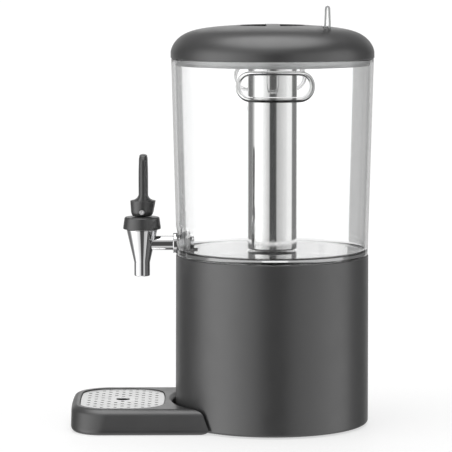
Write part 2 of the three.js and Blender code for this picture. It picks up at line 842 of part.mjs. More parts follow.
function dripTray() {
  const { height, edge, floor } = TRAY;
  const rounded = [];
  for (const [c, s] of arc(0, 0, edge, -90, 0, 3)) rounded.push(trayLayer(edge + s, edge - c));
  for (const [c, s] of arc(0, 0, edge, 0, 90, 3)) rounded.push(trayLayer(height - edge + s, edge - c));
  const recess = loft([gridRing(GRID.bottom - GAP, 0.5), gridRing(height + 1, 0.5)]);
  const well = loft([
    gridRing(floor, -GRID.land - 5),
    gridRing(floor + 2, -GRID.land - 2.2),
    gridRing(GRID.bottom + 1, -GRID.land),
  ]);
  return cut(loft(rounded), join(recess, well));
}

function isFree(x, y) {
  const r = GRID.corner;
  const dx = Math.max(Math.abs(x) - (GRID.x - r), 0);
  const middle = (GRID.front + GRID.back) / 2;
  const dy = Math.max(Math.abs(y - middle) - ((GRID.back - GRID.front) / 2 - r), 0);
  const inside = Math.hypot(dx, dy) < r - HOLES.margin;
  const offCentre = Math.hypot(x, y - HOLES.centreY) > HOLES.centreHoleR + HOLES.margin;
  return inside && offCentre;
}

function circleHole(x, y, r, steps) {
  const points = arc(x, y, r, 0, 360 - 360 / steps, steps - 1).map(([px, py]) => new THREE.Vector2(px, py));
  return new THREE.Path(points);
}

function dripGrid() {
  const outline = new THREE.Shape(gridRing(0, 0).map(([x, y]) => new THREE.Vector2(x, y)));
  outline.holes.push(circleHole(0, HOLES.centreY, HOLES.centreHoleR, 20));
  const halfColumns = (HOLES.columns - 1) / 2;
  for (let column = -halfColumns; column <= halfColumns; column++) {
    const y = HOLES.centreY + column * HOLES.pitch;
    const shift = column % 2 === 0 ? 0 : HOLES.pitch;
    for (let row = -5; row <= 5; row++) {
      const x = row * 2 * HOLES.pitch + shift;
      if (isFree(x, y)) outline.holes.push(circleHole(x, y, HOLES.r, 6));
    }
  }
  const options = { depth: GRID.t, bevelEnabled: false };
  return clean(new THREE.ExtrudeGeometry(outline, options)).translate(0, 0, GRID.bottom);
}

// ---------- assembly ----------

const dispenser = new THREE.Group();
dispenser.position.y = CENTRE_Y;

function add(name, geometry, look, x = 0, y = 0) {
  const mesh = new THREE.Mesh(geometry, look);
  mesh.name = name;
  mesh.position.set(x, y, 0);
  dispenser.add(mesh);
}

add('stand_shell', standShell(), blackPlastic);
add('stand_base_plate', basePlate(), blackPlastic);
footPlaces().forEach(([x, y], i) => add(`foot_${i + 1}`, foot(), blackRubber, x, y));
screwPlaces().forEach(([x, y], i) => add(`base_screw_${i + 1}`, baseScrew(), steel, x, y));

add('container', container(), clearPlastic);
add('tap_body', tapBody(), chrome);
add('tap_collar', shankRing(10.75, -102.6, -97.5, 1.2), chrome);
add('tap_outer_gasket', shankRing(10.2, -97.2, PAD.face - GAP), silicone);
add('tap_inner_gasket', shankRing(11.8, PAD.inner + GAP, -89.9), silicone);
add('tap_nut', tapNut(), steel);
add('tap_bonnet', tapBonnet(), blackPlastic);
add('tap_stem', tapStem(), steel);
add('tap_seat_cup', seatCup(), blackRubber);
add('tap_spring', tapSpring(), steel);
add('tap_handle', tapHandle(), blackPlastic);
add('tap_pin', pinCylinder(PIN.r, PIN.halfLength), steel);

add('lid', lid(), blackPlastic);
add('lid_seal', lidSeal(), silicone);
add('ice_tube', iceTube(), steel);
add('tube_seal', tubeSeal(), silicone);
add('ice_cap', iceCap(), blackPlastic);
add('label_holder', labelHolder(), clearPlastic);

add('drip_tray', dripTray(), blackPlastic);
add('drip_grid', dripGrid(), steel);

export default dispenser;
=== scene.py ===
import math

import bmesh
import bpy
import numpy as np
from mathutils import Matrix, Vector


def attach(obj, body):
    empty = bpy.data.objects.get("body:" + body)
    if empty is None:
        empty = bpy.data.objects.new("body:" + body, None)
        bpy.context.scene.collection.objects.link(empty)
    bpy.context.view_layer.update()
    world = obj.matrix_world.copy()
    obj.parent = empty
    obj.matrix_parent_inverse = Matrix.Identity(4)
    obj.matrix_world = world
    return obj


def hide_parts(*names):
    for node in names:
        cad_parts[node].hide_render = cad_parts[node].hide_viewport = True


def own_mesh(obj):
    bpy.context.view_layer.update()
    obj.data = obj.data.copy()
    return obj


# Cold drink dispenser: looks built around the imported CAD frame. Shapes are written in millimetres around
# the stand's axis, with the tap towards -y, and `place` moves them into the frame's metres.

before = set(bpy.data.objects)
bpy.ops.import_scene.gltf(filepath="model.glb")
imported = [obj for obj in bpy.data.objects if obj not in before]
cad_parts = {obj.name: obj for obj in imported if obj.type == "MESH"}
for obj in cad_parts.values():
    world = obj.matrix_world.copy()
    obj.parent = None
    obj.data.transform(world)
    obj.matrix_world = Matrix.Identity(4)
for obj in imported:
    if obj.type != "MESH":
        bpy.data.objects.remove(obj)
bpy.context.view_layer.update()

# ---------- driving dimensions (mm, the same as the CAD part's) ----------

MM = 0.001
AXIS_Y = 0.05164314  # y of the stand's axis in the frame, in metres
FINE = 192  # segments of the large round pieces
MEDIUM = 96  # segments of the tap's round pieces
SMALL = 48  # segments of screws, feet and pins
GAP = 0.3  # between pieces that fit together
ON_AXIS = 1e-6  # a smaller radius is a point on the axis

STAND = {"r_bottom": 100, "r_top": 99.45, "foot": 1.5, "top": 175.7, "wall": 3, "edge": 3}
LEDGE = {"r_in": 80, "bottom": 157.5, "top": 160.5}
BASE = {"bottom": 1.9, "top": 5.0}
FEET = {"r": 8, "height": 2.8, "ring": 80, "first": 22}
SCREW = {"head_r": 3, "head_top": 3.6, "r": 1.45, "end": 14, "ring": 87.5, "first": 45}
SCREW_THREAD = {"depth": 0.28, "pitch": 0.7, "flank": 0.3}
CROSS = {"half": 1.7, "slit": 0.35, "depth": 0.9}  # the screw head's cross slot
BOSS = {"r": 5.5, "top": 24, "hole_r": 1.8, "hole_top": 18}

WALL = 2.6
TAPER = {"z": 198.5, "r": 99.4, "slope": 0.02626}  # radius r at height z, growing by slope
CONTAINER = {"bottom": 176.0, "top": 378.6, "floor_top": 180.5, "floor_bottom": 177.5, "skirt_r": 95.6,
             "skirt_bottom": 164}
GRIP = {"z": 354.5, "depth_x": 86.5, "open": (76.5, 28), "end": (71.5, 23.5)}
TAP_Y = -134.5
CONE = {"nozzle_bottom": 153.5, "nozzle_r": 8.2, "bottom": 168.1, "r_low": 8.3, "r_high": 16, "top": 201}
BONNET_SEAT = {"r": 13.5, "z": 209}  # the cone's rim inside the bonnet
CHAMBER = [(7.0, 152.5), (6.2, 154.1), (6.2, 178), (9.2, 181), (9.2, 184), (11.2, 203), (11.2, 210)]
SHANK = {"z": 187.6, "r": 7.7, "end": -80.8}
SHANK_THREAD = {"start": -94.8, "pitch": 1.4, "full_to": -86.5}  # a little thinner beyond full_to
WATERWAY_R = 4.8
NUT = {"start": -89.6, "end": -84.7, "hex_r": 12.2, "flange_r": 12.75, "flange_t": 1.4, "bore": 8}
PAD = {"face": -95.5, "inner": -92.5, "half": 17, "top": 201.5}
SUMP = {"half": 16, "front": -96, "back": -77, "floor": 173.6, "top": 179}  # hollow under the tap's nut
BONNET = {"bottom": 202.5, "top": 215.4, "r_low": 19.5, "r_high": 18.2, "ceiling": 211.8}
BONNET_BORE = {"stem": 3.1, "seat": 13.9}
SPRING = {"r": 6, "wire": 0.6, "bottom": 190.6, "top": 210.9, "turns": 5, "travel": 3.63}
PIN = {"z": 220.5, "r": 2.7, "half": 11.2}
HANDLE = {"bottom": 215.9, "rim": 232, "rim_r": 13.1, "bar": 4.95, "fillet_top": 238.5, "top": 279.5}
LEVER_OFFSET = 1.5  # the bar stands this much nearer to the container than the pin

LID = {"r": 104.6, "bottom": 378.9, "skirt_top": 384.6, "shoulder": 24.2, "crown": 4.6, "wall": 2.8}
SKIRT_WALL = 3.3
LID_POWER, LID_ROOT = 7.26, 1.61
CUP = {"r": 36.6, "floor_r": 26.6, "floor": 395.8, "wall": 2.6}
SEAL = {"r_in": 95.2, "r_out": 100.9, "bottom": 371.9, "shelf": 379.2, "top": 386, "groove_r": 98.6}
SEAL_ROOM = 0.8  # between the seal and the lid above it
TUBE = {"r": 25.4, "wall": 1, "bottom": 181.8, "flange_r": 33, "flange_z": 397.8, "flange_t": 1.2}
CAP = {"r": 36.1, "bottom": 399.3, "floor": 402.3, "wall": 2.2, "bar": 6.85, "plug_r": 23.9, "plug_z": 388}
HOLDER = {"y": 54.1, "half": 45, "top": 433.3, "foot": 3.7, "head": 2.75, "sheet": 2}
TAB = {"x": 30, "half": 5, "depth": 403.5}

TRAY = {"height": 25.5, "edge": 5.8, "floor": 4, "bow": 2.5}
TRAY_LOW = {"front": -205.5, "half": 79.8, "corner": 30.7, "back": 102.5}
TRAY_HIGH = {"front": -205, "half": 71.6, "corner": 36.8, "back": 102.8}
GRID = {"x": 61, "front": -196.2, "back": -115.8, "corner": 29, "t": 1.2, "bottom": 23.2, "land": 3}
GRID_BOW = {"front": 2.2, "back": 4.4}  # its ends bulge this much in their middle
HOLES = {"r": 1.8, "pitch": 7, "columns": 11, "centre_r": 7.7, "centre_y": -154.8, "margin": 3.4}
LIPS = {"small": 0.12, "centre": 0.6}  # rounding at a hole's upper edge
GRID_RIM = 1.5  # polygons this near the grid's outer edge belong to its rim, not to a hole, and get no painted hole shade

# ---------- outline helpers ----------


def place(point):
    return (point[0] * MM, point[1] * MM + AXIS_Y, point[2] * MM)


def arc(cx, cy, r, start, end, steps):
    """Points of an arc from start to end degrees, both ends included."""
    angles = np.radians(np.linspace(start, end, steps + 1))
    return [(cx + r * math.cos(a), cy + r * math.sin(a)) for a in angles]


def rounded(corners, steps=5):
    """Closed outline whose corners (x, y, radius) are rounded; a corner without a radius stays sharp."""
    points = []
    count = len(corners)
    for i, corner in enumerate(corners):
        here = Vector(corner[:2])
        radius = corner[2] if len(corner) > 2 else 0
        before = (Vector(corners[i - 1][:2]) - here).normalized()
        after = (Vector(corners[(i + 1) % count][:2]) - here).normalized()
        if radius == 0 or abs(before.angle(after) - math.pi) < 0.01:
            points.append(tuple(here))
            continue
        half = before.angle(after) / 2
        middle = (before + after).normalized()
        centre = here + middle * (radius / math.sin(half))
        start = here + before * (radius / math.tan(half)) - centre
        end = here + after * (radius / math.tan(half)) - centre
        turn = start.angle_signed(end)
        for k in range(steps + 1):
            a = -turn * k / steps
            c, s = math.cos(a), math.sin(a)
            points.append((centre.x + (start.x * c - start.y * s), centre.y + (start.x * s + start.y * c)))
    return points


def lid_height(r, inset=0):
    """Height of the dome at radius r, or of its inner face when inset by the wall."""
    rim = LID["r"] - inset
    t = min(r / rim, 1)
    shoulder = (LID["shoulder"] - inset) * (1 - t**LID_POWER) ** (1 / LID_ROOT)
    return LID["skirt_top"] + shoulder + LID["crown"] * (1 - t * t) ** 2


def lid_line(r0, r1, steps, inset=0):
    """Dome outline from radius r0 to r1, closer together where the shoulder turns."""
    shares = [1 - (1 - i / steps) ** 2 for i in range(steps + 1)]
    return [(r0 + (r1 - r0) * s, lid_height(r0 + (r1 - r0) * s, inset)) for s in shares]


def bowed(points, half, bow):
    """Outline points pushed along y by bow in the middle, less towards x = half and x = -half."""
    return [(x, y + bow * (1 - (x / half) ** 2)) for x, y in points]


def container_r(z):
    return TAPER["r"] + TAPER["slope"] * (z - TAPER["z"])


def inner_r(z):
    return container_r(z) - WALL


def stand_r(z):
    share = (z - STAND["foot"]) / (STAND["top"] - STAND["foot"])
    return STAND["r_bottom"] + (STAND["r_top"] - STAND["r_bottom"]) * share


# ---------- mesh helpers ----------


def new_object(name, points, faces):
    """Object from points in stand-axis millimetres, with its faces turned outwards."""
    mesh = bpy.data.meshes.new(name)
    mesh.from_pydata([place(p) for p in points], [], faces)
    shape = bmesh.new()
    shape.from_mesh(mesh)
    bmesh.ops.recalc_face_normals(shape, faces=shape.faces)
    shape.to_mesh(mesh)
    shape.free()
    piece = bpy.data.objects.new(name, mesh)
    bpy.context.scene.collection.objects.link(piece)
    return piece


def skin(rings, closed):
    """Points and faces that join rings in order; a ring of one point is a pole."""
    points = []
    starts = []
    for ring in rings:
        starts.append(len(points))
        points.extend(ring)
    faces = []
    pairs = list(zip(range(len(rings)), range(1, len(rings))))
    if closed:
        pairs.append((len(rings) - 1, 0))
    for a, b in pairs:
        count = max(len(rings[a]), len(rings[b]))
        for i in range(count):
            j = (i + 1) % count
            quad = [
                starts[a] + i % len(rings[a]),
                starts[a] + j % len(rings[a]),
                starts[b] + j % len(rings[b]),
                starts[b] + i % len(rings[b]),
            ]
            faces.append(tuple(dict.fromkeys(quad)))
    return points, faces


def revolve(name, outline, segments, spot):
    """Solid of revolution from (radius, height) points that end on the axis or close on themselves.

    spot(c, s, height) turns the two parts c and s of a radius and a height into a point in space.
    """
    angles = [2 * math.pi * i / segments for i in range(segments)]
    rings = []
    for r, height in outline:
        if r < ON_AXIS:
            rings.append([spot(0, 0, height)])
        else:
            rings.append([spot(r * math.cos(a), r * math.sin(a), height) for a in angles])
    on_axis = outline[0][0] < ON_AXIS and outline[-1][0] < ON_AXIS
    return new_object(name, *skin(rings, not on_axis))


def lathe(name, outline, segments=FINE, centre=(0, 0)):
    """Solid of revolution about the vertical line through centre, from (radius, z) points."""
    return revolve(name, outline, segments, lambda c, s, z: (centre[0] + c, centre[1] + s, z))


def lathe_y(name, outline):
    """Solid of revolution about the shank's line from (radius, y) points."""
    return revolve(name, outline, MEDIUM, lambda c, s, y: (s, y, SHANK["z"] + c))


def lathe_x(name, outline, y, z):
    """Solid of revolution about the line along x through (y, z), from (radius, x) points."""
    return revolve(name, outline, SMALL, lambda c, s, x: (x, y + c, z + s))


def cylinder(name, r, z0, z1, segments=SMALL, centre=(0, 0)):
    return lathe(name, [(0, z0), (r, z0), (r, z1), (0, z1)], segments, centre)


def loft(name, rings):
    """Closed skin over rings of (x, y, z) points with equal counts."""
    points, faces = skin(rings, False)
    count = len(rings[0])
    faces.append(tuple(range(count)))
    faces.append(tuple(len(points) - count + i for i in range(count)))
    return new_object(name, points, faces)


def block(name, x0, x1, y0, y1, z0, z1):
    ring = [(x0, y0), (x1, y0), (x1, y1), (x0, y1)]
    return loft(name, [[(x, y, z) for x, y in ring] for z in (z0, z1)])


def combine(base, tools, operation="DIFFERENCE"):
    """Cuts the tools from base (or joins or intersects them), and throws the tools away."""
    for tool in tools:
        step = base.modifiers.new("step", "BOOLEAN")
        step.operation = operation
        step.solver = "MANIFOLD"
        step.object = tool
    bpy.context.view_layer.update()
    seen = base.evaluated_get(bpy.context.evaluated_depsgraph_get())
    mesh = bpy.data.meshes.new_from_object(seen)
    base.modifiers.clear()
    base.data = mesh
    for tool in tools:
        bpy.data.objects.remove(tool)
    return base


def soften(piece, width):
    """Rounds the piece's sharp edges by width millimetres."""
    edges = piece.modifiers.new("soft_edges", "BEVEL")
    edges.width = width * MM
    edges.segments = 3
    edges.limit_method = "ANGLE"
    edges.angle_limit = math.radians(50)


def finished(piece, node, body, material, sharp=32):
    """Smooth shading with crisp corners, then the body, the CAD node it stands for and its material."""
    piece.name = node + "_look"
    piece.data.name = piece.name
    for polygon in piece.data.polygons:
        polygon.use_smooth = True
    piece.data.set_sharp_from_angle(angle=math.radians(sharp))
    weights = piece.modifiers.new("even_shading", "WEIGHTED_NORMAL")
    weights.keep_sharp = True
    piece.data.materials.clear()
    piece.data.materials.append(material)
    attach(piece, body)
    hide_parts(node)
    return piece


# ---------- materials ----------


def set_inputs(node, values):
    """Sets a node's sockets by name; an underscore stands for a space."""
    for socket, value in values.items():
        node.inputs[socket.replace("_", " ")].default_value = value


def new_node(tree, kind, **values):
    node = tree.nodes.new("ShaderNode" + kind)
    set_inputs(node, values)
    return node


class Look:
    """A Principled material with short helpers for its texture nodes; scales are per metre."""

    def __init__(self, name, roughness, metallic=0.0, **sockets):
        self.material = bpy.data.materials.new(name)
        self.material.use_nodes = True
        self.tree = self.material.node_tree
        self.shader = self.tree.nodes["Principled BSDF"]
        set_inputs(self.shader, {"Roughness": roughness, "Metallic": metallic, **sockets})
        self.where = new_node(self.tree, "TexCoord").outputs["Object"]
        self.bumps = None

    def link(self, out, into):
        self.tree.links.new(out, into)

    def feed(self, socket, value):
        """Drives one of the shader's own sockets."""
        self.link(value, self.shader.inputs[socket])

    def stretched(self, stretch):
        """Object coordinates times stretch, so that a texture runs longer along the smaller factors."""
        node = new_node(self.tree, "Mapping", Scale=stretch)
        self.link(self.where, node.inputs["Vector"])
        return node.outputs["Vector"]

    def noise(self, scale, detail=3.0, stretch=(1, 1, 1), distortion=0.0):
        node = new_node(self.tree, "TexNoise", Scale=scale, Detail=detail, Distortion=distortion)
        self.link(self.stretched(stretch), node.inputs["Vector"])
        return node.outputs["Fac"]

    def grain(self, scale):
        node = new_node(self.tree, "TexVoronoi")
        node.feature = "SMOOTH_F1"
        node.inputs["Scale"].default_value = scale
        self.link(self.where, node.inputs["Vector"])
        return node.outputs["Distance"]

    def remap(self, value, low, high, from_low=0.3, from_high=0.7):
        limits = {"From_Min": from_low, "From_Max": from_high, "To_Min": low, "To_Max": high}
        node = new_node(self.tree, "MapRange", **limits)
        self.link(value, node.inputs["Value"])
        return node.outputs["Result"]

    def blend(self, fac, low, high):
        """Colour from low to high as fac goes from 0 to 1."""
        node = self.tree.nodes.new("ShaderNodeMix")
        node.data_type = "RGBA"
        node.inputs["A"].default_value = (*low, 1)
        node.inputs["B"].default_value = (*high, 1)
        self.link(fac, node.inputs["Factor"])
        return node.outputs["Result"]

    def bump(self, height, strength, distance):
        node = new_node(self.tree, "Bump", Strength=strength, Distance=distance)
        self.link(height, node.inputs["Height"])
        if self.bumps is not None:
            self.link(self.bumps, node.inputs["Normal"])
        self.bumps = node.outputs["Normal"]
        self.feed("Normal", self.bumps)

    def worn_edges(self, colour, strength):
        """Lighter colour where the mesh is most convex, broken up by a fine noise."""
        edge = new_node(self.tree, "NewGeometry").outputs["Pointiness"]
        node = new_node(self.tree, "Math")
        node.operation = "MULTIPLY"
        self.link(self.remap(edge, 0, strength, 0.52, 0.62), node.inputs[0])
        self.link(self.remap(self.noise(900), 0.3, 1), node.inputs[1])
        mix = self.tree.nodes.new("ShaderNodeMix")
        mix.data_type = "RGBA"
        self.link(node.outputs[0], mix.inputs["Factor"])
        self.link(colour, mix.inputs["A"])
        mix.inputs["B"].default_value = (0.10, 0.10, 0.105, 1)
        return mix.outputs["Result"]


def black_plastic():
    """Satin moulded plastic: fine spark-eroded grain, slight cloudiness and faintly rubbed edges."""
    look = Look("satin_black_plastic", 0.4, IOR=1.6, Specular_IOR_Level=0.95)
    cloud = look.remap(look.noise(14, 4), 0, 1)
    colour = look.blend(cloud, (0.027, 0.027, 0.0275), (0.033, 0.033, 0.0335))
    look.feed("Base Color", look.worn_edges(colour, 0.35))
    look.feed("Roughness", look.remap(look.noise(60, 5), 0.33, 0.39))
    look.bump(look.grain(1900), 0.10, 0.00005)
    look.bump(look.noise(24, 2), 0.04, 0.0006)
    return look.material


def clear_plastic(name, density, tint=0.985):
    """Moulded clear plastic, greyer where light runs far inside it, with faint waves and hazy patches."""
    look = Look(name, 0.02, IOR=1.49, Transmission_Weight=1.0)
    haze = look.remap(look.noise(18, 4), 0, 1)
    colour = look.blend(haze, (tint, tint, tint), (tint - 0.01, tint - 0.006, tint - 0.006))
    look.feed("Base Color", colour)
    look.feed("Roughness", look.remap(look.noise(90, 4), 0.0, 0.03))
    look.bump(look.noise(9, 1, (1, 1, 0.35)), 0.05, 0.0004)
    inside = new_node(look.tree, "VolumeAbsorption", Color=(0.2, 0.21, 0.21, 1), Density=density)
    look.link(inside.outputs["Volume"], look.tree.nodes["Material Output"].inputs["Volume"])
    return look.material


def polished_steel():
    """Drawn and polished stainless tube: hair lines along its length and slightly uneven gloss."""
    look = Look("polished_steel", 0.08, 1.0)
    cloud = look.remap(look.noise(11, 3), 0, 1)
    look.feed("Base Color", look.blend(cloud, (0.87, 0.87, 0.865), (0.91, 0.91, 0.905)))
    look.feed("Roughness", look.remap(look.noise(400, 4, (1, 1, 0.02)), 0.05, 0.11))
    look.bump(look.noise(1500, 2, (1, 1, 0.01)), 0.03, 0.00002)
    look.bump(look.noise(8, 1, (1, 1, 0.4)), 0.05, 0.0003)
    return look.material


def brushed_steel(name, along, base, rough):
    """Brushed stainless sheet with its lines along one axis and small stains."""
    look = Look(name, rough, 1.0)
    stain = look.remap(look.noise(35, 4), 0, 1)
    low = tuple(base - 0.05 for _ in range(3))
    look.feed("Base Color", look.blend(stain, low, (base, base, base - 0.005)))
    look.feed("Roughness", look.remap(look.noise(700, 4, along), rough - 0.06, rough + 0.06))
    look.bump(look.noise(1800, 2, along), 0.12, 0.00003)
    return look.material


def chrome():
    """Bright chrome plating with faint wipe marks."""
    look = Look("bright_chrome", 0.04, 1.0)
    cloud = look.remap(look.noise(30, 4), 0, 1)
    look.feed("Base Color", look.blend(cloud, (0.8, 0.8, 0.81), (0.84, 0.84, 0.85)))
    look.feed("Roughness", look.remap(look.noise(120, 5, (1, 1, 1), 0.6), 0.02, 0.06))
    look.bump(look.noise(45, 2), 0.02, 0.0002)
    return look.material


def black_rubber():
    look = Look("black_rubber", 0.8)
    dust = look.remap(look.noise(220, 5), 0, 1)
    look.feed("Base Color", look.blend(dust, (0.016, 0.016, 0.016), (0.032, 0.031, 0.03)))
    look.feed("Roughness", look.remap(look.noise(160, 4), 0.7, 0.9))
    look.bump(look.noise(1600, 3), 0.25, 0.0001)
    return look.material


def silicone():
    """Milky translucent silicone."""
    look = Look("milky_silicone", 0.35, IOR=1.41, Transmission_Weight=0.55)
    cloud = look.remap(look.noise(40, 3), 0, 1)
    look.feed("Base Color", look.blend(cloud, (0.92, 0.925, 0.93), (0.96, 0.965, 0.965)))
    look.feed("Roughness", look.remap(look.noise(150, 3), 0.28, 0.42))
    look.bump(look.noise(700, 3), 0.1, 0.00006)
    return look.material


# ---------- stand ----------


def ring_places(radius, first):
    return arc(0, 0, radius, first, first + 270, 3)


def stand_shell(material):
    wall = STAND["wall"]
    foot = STAND["foot"]
    ledge_r = LEDGE["r_in"]
    corners = [(stand_r(foot) - wall, foot, 0.4), (stand_r(foot), foot, STAND["edge"])]
    corners += [(STAND["r_top"], STAND["top"], 0.7), (STAND["r_top"] - wall, STAND["top"], 0.3)]
    corners += [(stand_r(LEDGE["top"]) - wall, LEDGE["top"], 1.2), (ledge_r, LEDGE["top"], 0.5)]
    corners += [(ledge_r, LEDGE["bottom"], 0.5), (stand_r(LEDGE["bottom"]) - wall, LEDGE["bottom"], 1.2)]
    shell = lathe("shell", rounded(corners, 7))
    bosses = []
    holes = []
    bottom = BASE["top"] + GAP
    for x, y in ring_places(SCREW["ring"], SCREW["first"]):
        bosses.append(cylinder("boss", BOSS["r"], bottom, BOSS["top"], SMALL, (x, y)))
        out = Vector((x, y)).normalized()
        side = Vector((-out.y, out.x)) * 2
        near = Vector((x, y))
        far = out * (STAND["r_bottom"] - 1.5)
        web = [near - side, far - side, far + side, near + side]
        bosses.append(loft("web", [[(p.x, p.y, z) for p in web] for z in (bottom, BOSS["top"])]))
        holes.append(cylinder("hole", BOSS["hole_r"], BASE["top"], BOSS["hole_top"], SMALL, (x, y)))
    combine(shell, bosses, "UNION")
    combine(shell, holes)
    return finished(shell, "stand_shell", "stand", material)


def feet(material):
    r = FEET["r"]
    for number, (x, y) in enumerate(ring_places(FEET["ring"], FEET["first"]), 1):
        outline = [(0, 0.5), (r - 4.5, 0.5), (r - 3.7, 0)] + arc(r - 0.9, 0.9, 0.9, -90, 0, 5)
        outline += [(r, FEET["height"]), (0, FEET["height"])]
        foot = lathe("foot", outline, SMALL, (x, y))
        finished(foot, f"foot_{number}", "stand", material)


def base_screws(material):
    bottom = BASE["bottom"] + 0.2
    for number, (x, y) in enumerate(ring_places(SCREW["ring"], SCREW["first"]), 1):
        outline = [(0, bottom), (SCREW["head_r"] - 0.5, bottom), (SCREW["head_r"], bottom + 0.5)]
        outline += [(SCREW["head_r"], SCREW["head_top"]), (SCREW["r"], SCREW["head_top"])]
        z = SCREW["head_top"] + 0.6
        while z < SCREW["end"] - 2.2:  # thread, as rings one pitch apart
            outline += [(SCREW["r"], z), (SCREW["r"] - SCREW_THREAD["depth"], z + SCREW_THREAD["flank"])]
            z += SCREW_THREAD["pitch"]
        outline += [(SCREW["r"] - 0.1, SCREW["end"] - 1.5), (0, SCREW["end"])]
        screw = lathe("screw", outline, SMALL, (x, y))
        arms = []
        for dx, dy in ((CROSS["half"], CROSS["slit"]), (CROSS["slit"], CROSS["half"])):
            arms.append(block("arm", x - dx, x + dx, y - dy, y + dy, bottom - 1, bottom + CROSS["depth"]))
        combine(screw, arms)
        finished(screw, f"base_screw_{number}", "stand", material)


# ---------- container ----------


def slot_ring(x, width, height, steps=20):
    """Rounded slot in the y-z plane at one x."""
    r = height / 2
    side = width / 2 - r
    ends = arc(side, GRIP["z"], r, -90, 90, steps) + arc(-side, GRIP["z"], r, 90, 270, steps)
    return [(x, y, z) for y, z in ends]


def grip_pocket(side, grow, far):
    """Finger pocket on the side +1 or -1, grown by `grow` on all sides, from its flat end to x = far."""
    (end_w, end_h), (open_w, open_h) = GRIP["end"], GRIP["open"]
    near = GRIP["depth_x"] - grow
    rings = []
    for a in np.radians(np.linspace(0, 90, 5)):
        inset = 1.5 * (1 - math.sin(a))
        x = near + 1.5 * (1 - math.cos(a))
        rings.append((x, end_w + 2 * (grow - inset), end_h + 2 * (grow - inset)))
    rings.append((far, open_w + 2 * grow, open_h + 2 * grow))
    shape = [slot_ring(*ring) for ring in rings]
    return loft("grip", [[(side * x, side * y, z) for x, y, z in ring] for ring in shape])


def arch_ring(y, half, bottom, top):
    shoulder = top - half * 0.35
    crown = []
    for a in np.radians(np.linspace(0, 180, 33)):
        crown.append((half * math.cos(a), y, shoulder + (top - shoulder) * math.sin(a)))
    return [(-half, y, bottom), (half, y, bottom)] + crown


def tap_pocket(face, grow):
    """Recess that gives the tap a flat seat; its top runs out through the tapered wall as a ramp."""
    bottom = CONTAINER["bottom"] - 1
    half = PAD["half"] + grow
    top = PAD["top"] + grow
    return loft("pad", [arch_ring(face, half, bottom, top), arch_ring(face - 7, half + 6, bottom, top + 8)])


def container(material):
    c = CONTAINER
    top, low, skirt = c["top"], c["bottom"], c["skirt_r"]
    outside = [(0, c["floor_bottom"]), (skirt - WALL, c["floor_bottom"]), (skirt - WALL, c["skirt_bottom"])]
    outside += [(skirt - 0.5, c["skirt_bottom"]), (skirt, c["skirt_bottom"] + 0.5), (skirt, low)]
    outside += arc(container_r(low) - 0.6, low + 0.6, 0.6, -90, 0, 4)
    outside += [(container_r(z), z) for z in np.linspace(low + 6, top - 6, 12)]
    outside += arc(container_r(top) - 0.9, top - 0.9, 0.9, 0, 90, 5) + [(0, top)]
    floor = c["floor_top"]
    hollow = [(0, floor)] + arc(inner_r(floor) - 3, floor + 3, 3, -90, 0, 8)
    hollow += [(inner_r(z), z) for z in np.linspace(floor + 8, top - 4, 12)]
    hollow += [(inner_r(top) + 0.4, top + 0.2), (inner_r(top) + 0.4, top + 5), (0, top + 5)]
    s = SUMP
    body = lathe("container", outside)
    reach = s["half"] + WALL
    sump_wall = block("sump", -reach, reach, s["front"], s["back"] + WALL, s["floor"] - WALL, s["top"])
    combine(sump_wall, [cylinder("limit", skirt, 160, 190, FINE)], "INTERSECT")
    sump_room = block("room", -s["half"], s["half"], PAD["inner"], s["back"], s["floor"], 190)
    combine(sump_room, [cylinder("limit", skirt - WALL, 160, 200, FINE)], "INTERSECT")
    room = lathe("hollow", hollow)
    combine(room, [tap_pocket(PAD["inner"], WALL)] + [grip_pocket(side, WALL, 110) for side in (1, -1)])
    combine(room, [sump_room], "UNION")
    combine(body, [sump_wall], "UNION")
    bore = SHANK["r"] + 0.5
    hole = lathe_y("hole", [(0, -110), (bore, -110), (bore, -85), (0, -85)])
    pockets = [tap_pocket(PAD["face"], 0)] + [grip_pocket(side, 0, 112) for side in (1, -1)]
    combine(body, pockets + [room, hole])
    return finished(body, "container", "container", material, 28)


# ---------- tap ----------


def tap_cone():
    c, seat = CONE, BONNET_SEAT
    rim = c["r_high"] - 0.5
    outline = [(0, c["nozzle_bottom"]), (6.6, c["nozzle_bottom"])]
    outline += arc(c["nozzle_r"] - 1.4, c["nozzle_bottom"] + 1.4, 1.4, -80, 0, 5)
    outline += [(c["nozzle_r"], c["bottom"] - 0.4), (c["r_low"], c["bottom"]), (c["r_high"], c["top"])]
    outline += arc(rim, c["top"] + 0.3, 0.5, 0, 90, 3)
    outline += [(seat["r"], c["top"] + 0.8), (seat["r"], seat["z"]), (0, seat["z"])]
    return lathe("cone", outline, MEDIUM, (0, TAP_Y))


def tap_shank():
    """Horizontal pipe whose inner end carries the nut's thread, as rings one pitch apart."""
    r, end = SHANK["r"], SHANK["end"]
    outline = [(0, TAP_Y + 6), (r, TAP_Y + 6), (r, -96.5)]
    y = SHANK_THREAD["start"]
    while y < end - 2:
        crest, root = (r, r - 0.8) if y < SHANK_THREAD["full_to"] else (r - 0.5, r - 1)
        outline += [(crest, y), (root, y + 0.7)]
        y += SHANK_THREAD["pitch"]
    outline += [(7.1, end - 0.7), (6.4, end), (0, end)]
    return lathe_y("shank", outline)


def tap_body(material):
    """Cone, nozzle and shank in one piece, hollow from the container to the nozzle."""
    body = tap_cone()
    chamber_bottom, chamber_top = CHAMBER[0][1], CHAMBER[-1][1]
    chamber = lathe("chamber", [(0, chamber_bottom)] + CHAMBER + [(0, chamber_top)], MEDIUM, (0, TAP_Y))
    bore = WATERWAY_R
    waterway = lathe_y("waterway", [(0, TAP_Y + 4), (bore, TAP_Y + 4), (bore, -70), (0, -70)])
    combine(body, [tap_shank()], "UNION")
    combine(body, [chamber, waterway])
    return finished(body, "tap_body", "container", material, 24)


